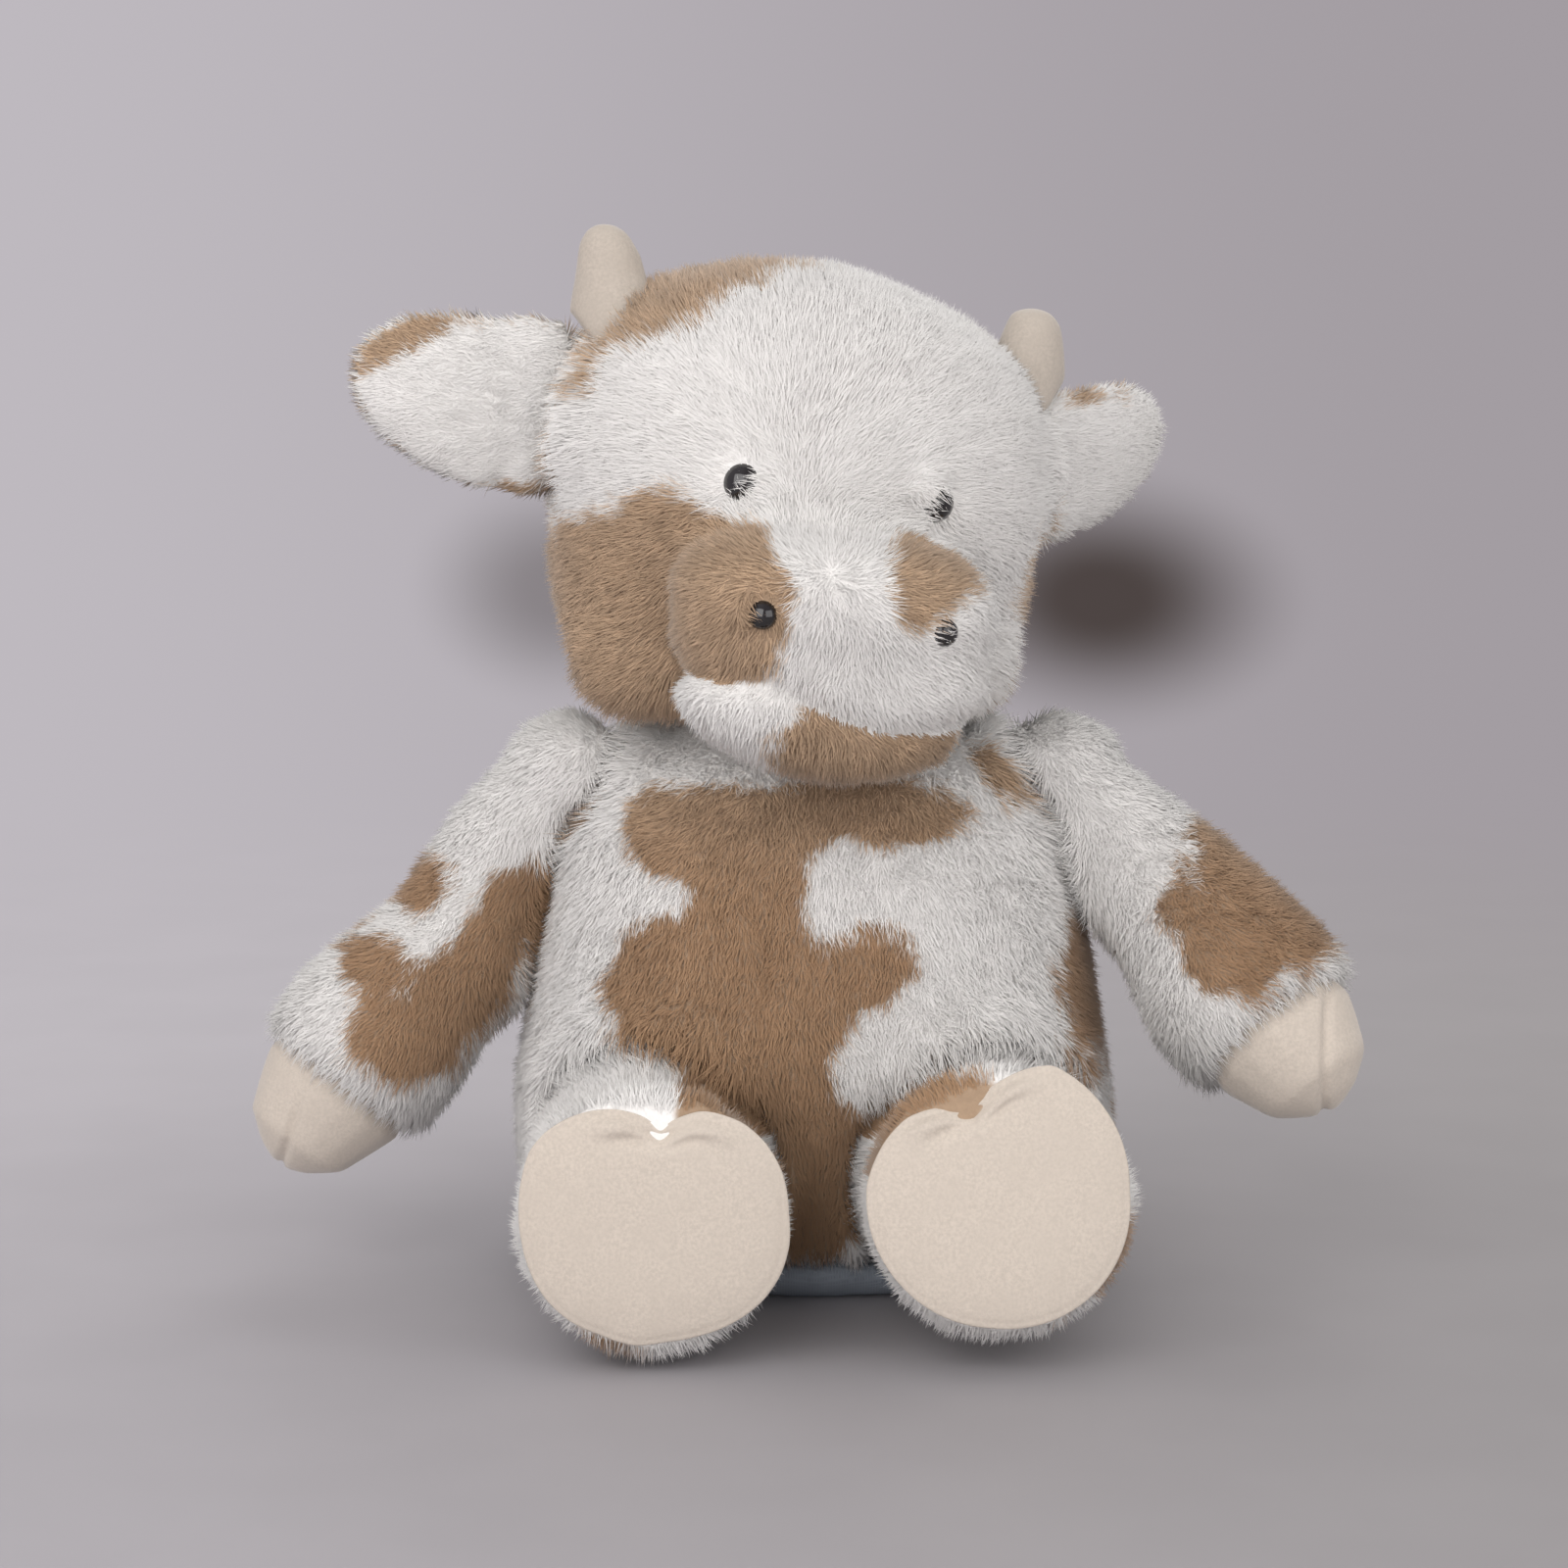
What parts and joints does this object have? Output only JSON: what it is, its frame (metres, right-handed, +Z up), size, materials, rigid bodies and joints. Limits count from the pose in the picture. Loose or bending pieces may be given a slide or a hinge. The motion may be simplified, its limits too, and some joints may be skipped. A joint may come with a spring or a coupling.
{
  "type": "plush cow",
  "caption": "Seated plush cow in white and tan long-pile fur with suede horns, hooves and soles, glossy eyes, and a head, ears, arms, legs and tail that move.",
  "frame": {"origin": "middle of the flat seat panel, on the surface that the toy sits on", "axes": "+Z up, -Y the way the body faces, -X the cow's own right side"},
  "size_m": [0.3169, 0.2875, 0.3012],
  "materials": {
    "white_fur": "long soft pile, matte",
    "tan_fur": "long soft pile, matte",
    "cream_suede": "short nap, matte",
    "base_cloth": "smooth plain weave",
    "stuffing": "loose polyester fibre",
    "pellet_cloth": "plain cotton",
    "gloss_black": "polished",
    "washer_plastic": "moulded"
  },
  "bodies": {
    "body": {"body_skin": "white_fur", "body_stuffing": "stuffing", "pellet_bag": "pellet_cloth", "base_panel": "base_cloth"},
    "neck": {"neck_stuffing": "stuffing"},
    "head": {"head_skin": "white_fur", "head_stuffing": "stuffing", "muzzle_skin": "white_fur", "muzzle_stuffing": "stuffing", "chin_skin": "white_fur", "chin_stuffing": "stuffing", "horn_right": "cream_suede", "horn_left": "cream_suede", "eye_right": "gloss_black", "eye_left": "gloss_black", "eye_right_washer": "washer_plastic", "eye_left_washer": "washer_plastic", "nostril_right": "gloss_black", "nostril_left": "gloss_black", "nostril_right_washer": "washer_plastic", "nostril_left_washer": "washer_plastic"},
    "ear_right": {"ear_right_front": "white_fur", "ear_right_back": "tan_fur"},
    "ear_left": {"ear_left_front": "white_fur", "ear_left_back": "tan_fur"},
    "arm_right": {"arm_right_skin": "white_fur", "arm_right_stuffing": "stuffing", "arm_right_hoof": "cream_suede"},
    "arm_left": {"arm_left_skin": "white_fur", "arm_left_stuffing": "stuffing", "arm_left_hoof": "cream_suede"},
    "leg_right": {"leg_right_skin": "white_fur", "leg_right_stuffing": "stuffing", "leg_right_sole": "cream_suede"},
    "leg_left": {"leg_left_skin": "white_fur", "leg_left_stuffing": "stuffing", "leg_left_sole": "cream_suede"},
    "tail": {"tail_skin": "white_fur", "tail_tuft": "tan_fur"}
  },
  "joints": [
    {"name": "head_turn", "type": "hinge", "parent": "body", "child": "neck", "pos_m": [-0.006, 0.002, 0.222], "axis": [0, 0, 1], "range_deg": [-35, 20]},
    {"name": "head_nod", "type": "hinge", "parent": "neck", "child": "head", "pos_m": [-0.006, 0.002, 0.222], "axis": [0.9799, 0.1994, 0], "range_deg": [-10, 5]},
    {"name": "ear_right_fold", "type": "hinge", "parent": "head", "child": "ear_right", "pos_m": [-0.07478, -0.01269, 0.24963], "axis": [0.0496, -0.0254, 0.9984], "range_deg": [-40, 25]},
    {"name": "ear_left_fold", "type": "hinge", "parent": "head", "child": "ear_left", "pos_m": [0.06696, 0.01627, 0.22962], "axis": [0.0078, 0.1564, -0.9877], "range_deg": [-3, 55]},
    {"name": "arm_right_lift", "type": "hinge", "parent": "body", "child": "arm_right", "pos_m": [-0.068, 0, 0.142], "axis": [0, 1, 0], "range_deg": [0, 70]},
    {"name": "arm_left_lift", "type": "hinge", "parent": "body", "child": "arm_left", "pos_m": [0.068, 0, 0.142], "axis": [0, -1, 0], "range_deg": [0, 70]},
    {"name": "leg_right_splay", "type": "hinge", "parent": "body", "child": "leg_right", "pos_m": [-0.046, -0.056, 0.038], "axis": [0, 0, -1], "range_deg": [-3, 30]},
    {"name": "leg_left_splay", "type": "hinge", "parent": "body", "child": "leg_left", "pos_m": [0.046, -0.056, 0.038], "axis": [0, 0, 1], "range_deg": [-3, 30]},
    {"name": "tail_swing", "type": "hinge", "parent": "body", "child": "tail", "pos_m": [0, 0.07, 0.036], "axis": [0, 0, 1], "range_deg": [-30, 30]}
  ]
}
